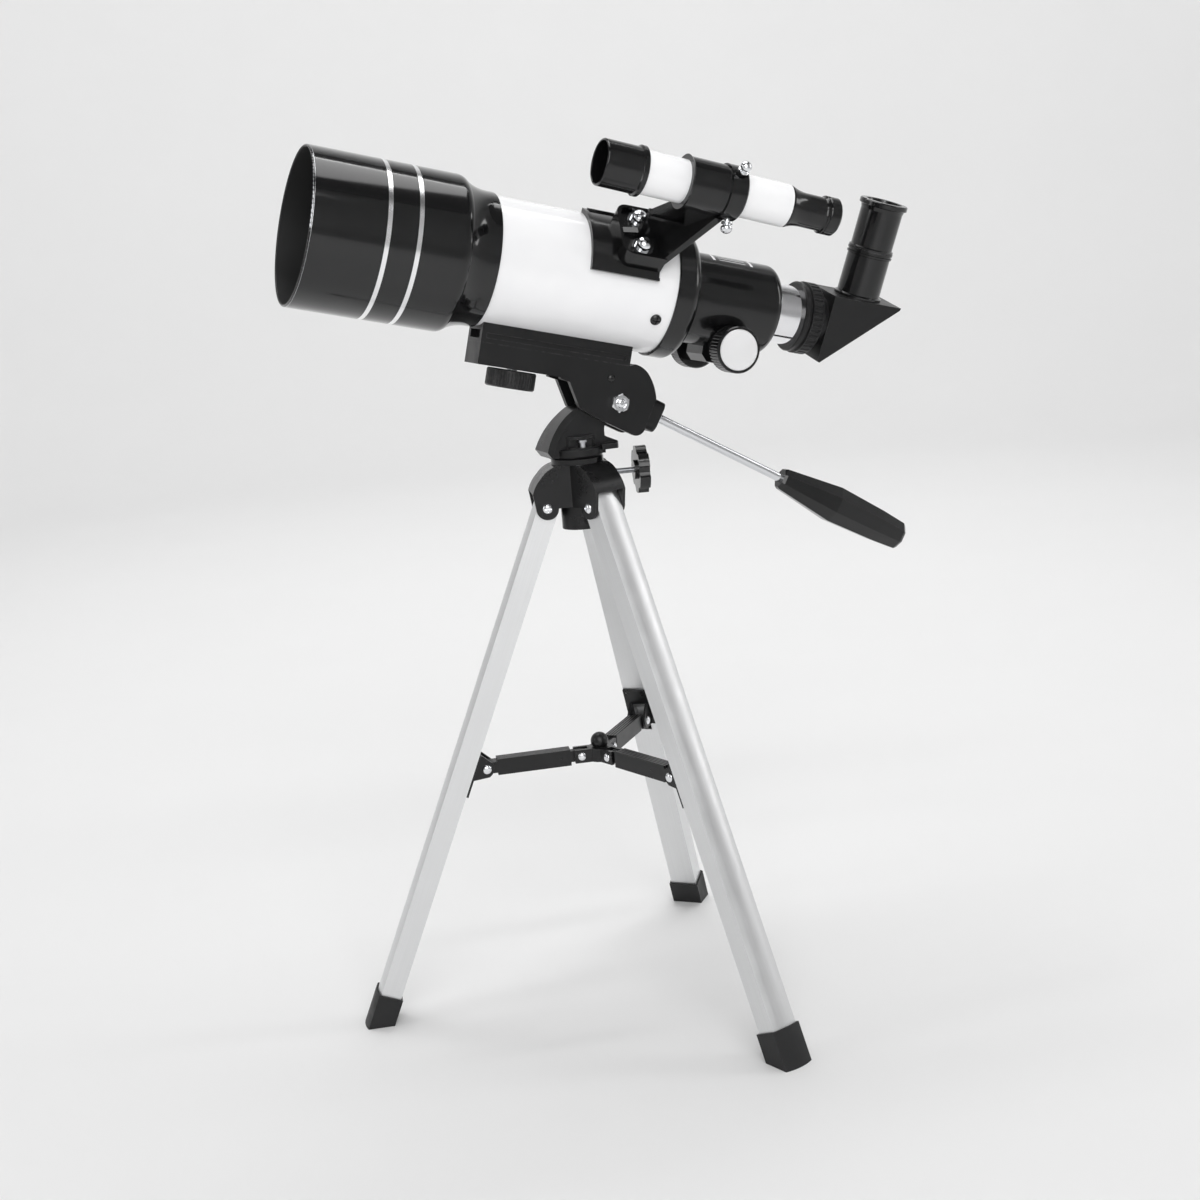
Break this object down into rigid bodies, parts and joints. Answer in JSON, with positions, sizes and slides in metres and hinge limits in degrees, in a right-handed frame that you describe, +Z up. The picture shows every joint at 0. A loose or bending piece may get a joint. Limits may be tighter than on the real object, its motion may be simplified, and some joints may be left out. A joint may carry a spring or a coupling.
{
  "type": "telescope on tripod",
  "caption": "Short refractor telescope with dew hood, finder, focuser, star diagonal and eyepiece on a folding table-top tripod with a pan handle.",
  "frame": {"origin": "on the floor, under the middle of the bounding box", "axes": "+Z up, the optical axis lies in the XZ plane with the objective towards -X and up, the finder is on the -Y side"},
  "size_m": [0.3954, 0.2889, 0.5457],
  "materials": {
    "black_gloss": "gloss",
    "black_satin": "satin",
    "white_paint": "gloss",
    "black_paint": "gloss",
    "chrome": "polished",
    "steel": "satin",
    "leg_aluminium": "anodised satin",
    "brass": "satin",
    "rubber": "matt",
    "lens_glass": "coated",
    "mirror": "polished"
  },
  "bodies": {
    "tripod": {"hub_crown": "black_satin", "neck_ring": "black_gloss", "leg_pins": "chrome"},
    "pan": {"pan_base": "black_satin", "pan_bolts": "steel"},
    "lock": {"lock_screw": "steel", "lock_knob": "black_gloss"},
    "telescope": {"tilt_head": "black_satin", "tilt_fasteners": "chrome", "tube_shoe": "black_satin", "main_tube": "white_paint", "hood": "black_paint", "objective_cell": "black_satin", "objective_lens": "lens_glass", "rear_ring": "black_gloss", "focuser_body": "black_gloss", "small_screws": "steel", "finder_bracket": "black_gloss", "finder_nuts": "chrome", "finder_tube": "white_paint", "finder_hood": "black_gloss", "finder_lens": "lens_glass"},
    "mount": {"mount_screw": "steel", "mount_wheel": "black_satin"},
    "handle": {"handle_rod": "chrome", "handle_grip": "black_gloss"},
    "focus": {"focus_pinion": "brass", "focus_knobs": "black_gloss", "knob_discs": "steel"},
    "draw": {"drawtube": "chrome", "focus_rack": "black_satin", "clamp_collar": "black_satin"},
    "diagonal": {"diagonal_case": "black_satin", "diagonal_mirror": "mirror", "eyepiece_holder": "black_gloss"},
    "eyepiece": {"eyepiece_barrel": "chrome", "eyepiece_body": "black_gloss", "eyepiece_lens": "lens_glass"},
    "finder_eye": {"finder_eyepiece": "black_gloss", "finder_eye_lens": "lens_glass"},
    "align_A": {"finder_screw_A": "chrome"},
    "align_B": {"finder_screw_B": "chrome"},
    "align_C": {"finder_screw_C": "chrome"},
    "leg_L": {"leg_L": "leg_aluminium", "foot_L": "rubber", "bracket_L": "black_satin", "bracket_pins_L": "chrome"},
    "leg_F": {"leg_F": "leg_aluminium", "foot_F": "rubber", "bracket_F": "black_satin", "bracket_pins_F": "chrome"},
    "leg_B": {"leg_B": "leg_aluminium", "foot_B": "rubber", "bracket_B": "black_satin", "bracket_pins_B": "chrome"},
    "spreader": {"spreader_hub": "black_satin", "spreader_pins": "chrome"},
    "brace_L": {"arm_L": "black_satin"},
    "brace_F": {"arm_F": "black_satin"},
    "brace_B": {"arm_B": "black_satin"}
  },
  "joints": [
    {"name": "pan_turn", "type": "hinge", "parent": "tripod", "child": "pan", "pos_m": [-0.02767, 0.01436, 0.354], "axis": [0, 0, 1], "continuous": true},
    {"name": "lock_turn", "type": "hinge", "parent": "tripod", "child": "lock", "pos_m": [0.00763, 0.00728, 0.339], "axis": [0.9804, -0.1968, 0], "continuous": true},
    {"name": "tilt_turn", "type": "hinge", "parent": "pan", "child": "telescope", "pos_m": [-0.00277, 0.01436, 0.3818], "axis": [0, 1, 0], "range_deg": [-28, 18]},
    {"name": "handle_twist", "type": "hinge", "parent": "telescope", "child": "handle", "pos_m": [0.02493, 0.01436, 0.36972], "axis": [0.8625, 0, -0.506], "continuous": true},
    {"name": "mount_turn", "type": "hinge", "parent": "telescope", "child": "mount", "pos_m": [-0.0663, 0.01436, 0.40044], "axis": [0.2475, 0, 0.9689], "continuous": true},
    {"name": "focus_travel", "type": "slide", "parent": "telescope", "child": "draw", "axis": [0.9689, 0, -0.2475], "range_m": [-0.013, 0.035]},
    {"name": "focus_turn", "type": "hinge", "parent": "telescope", "child": "focus", "pos_m": [0.0682, 0.01436, 0.40778], "axis": [0, 1, 0], "range_deg": [-130, 340]},
    {"name": "diagonal_turn", "type": "hinge", "parent": "draw", "child": "diagonal", "pos_m": [0.1322, 0.01436, 0.41992], "axis": [0.9689, 0, -0.2475], "continuous": true},
    {"name": "eyepiece_pull", "type": "slide", "parent": "diagonal", "child": "eyepiece", "axis": [0.2412, -0.225, 0.9441], "range_m": [0, 0.026]},
    {"name": "finder_focus", "type": "hinge", "parent": "telescope", "child": "finder_eye", "pos_m": [0.10293, -0.05178, 0.48724], "axis": [0.9621, 0, -0.2728], "continuous": true},
    {"name": "align_turn_A", "type": "hinge", "parent": "telescope", "child": "align_A", "pos_m": [0.0583, -0.06516, 0.51241], "axis": [0.1825, -0.7431, 0.6438], "continuous": true},
    {"name": "align_turn_B", "type": "hinge", "parent": "telescope", "child": "align_B", "pos_m": [0.05021, -0.05552, 0.48389], "axis": [-0.2668, -0.2079, -0.9411], "continuous": true},
    {"name": "align_turn_C", "type": "hinge", "parent": "telescope", "child": "align_C", "pos_m": [0.05653, -0.03466, 0.50618], "axis": [0.0843, 0.9511, 0.2973], "continuous": true},
    {"name": "leg_fold_L", "type": "hinge", "parent": "tripod", "child": "leg_L", "pos_m": [-0.04924, 0.01869, 0.3219], "axis": [-0.1968, -0.9804, 0], "range_deg": [0, 18]},
    {"name": "leg_fold_F", "type": "hinge", "parent": "tripod", "child": "leg_F", "pos_m": [-0.02063, -0.00648, 0.3219], "axis": [0.9475, 0.3198, 0], "range_deg": [0, 18]},
    {"name": "leg_fold_B", "type": "hinge", "parent": "tripod", "child": "leg_B", "pos_m": [-0.01314, 0.03088, 0.3219], "axis": [-0.7507, 0.6607, 0], "range_deg": [0, 18]},
    {"name": "spreader_rise", "type": "slide", "parent": "tripod", "child": "spreader", "axis": [0, 0, 1], "range_m": [0, 0.05174]},
    {"name": "brace_fold_L", "type": "hinge", "parent": "spreader", "child": "brace_L", "pos_m": [-0.03993, 0.01682, 0.161], "axis": [-0.1968, -0.9804, 0], "range_deg": [0, 81.6]},
    {"name": "brace_fold_F", "type": "hinge", "parent": "spreader", "child": "brace_F", "pos_m": [-0.02367, 0.00252, 0.161], "axis": [0.9475, 0.3198, 0], "range_deg": [0, 81.6]},
    {"name": "brace_fold_B", "type": "hinge", "parent": "spreader", "child": "brace_B", "pos_m": [-0.01941, 0.02374, 0.161], "axis": [-0.7507, 0.6607, 0], "range_deg": [0, 81.6]}
  ],
  "couplings": [
    {"joint": "focus_turn", "follows": "focus_travel", "rad_per_m": 166.67},
    {"joint": "leg_fold_F", "follows": "leg_fold_L", "ratio": 1},
    {"joint": "leg_fold_B", "follows": "leg_fold_L", "ratio": 1},
    {"joint": "spreader_rise", "follows": "leg_fold_L", "m_per_rad": 0.16469},
    {"joint": "brace_fold_L", "follows": "leg_fold_L", "ratio": 4.5328},
    {"joint": "brace_fold_F", "follows": "leg_fold_L", "ratio": 4.5328},
    {"joint": "brace_fold_B", "follows": "leg_fold_L", "ratio": 4.5328}
  ]
}
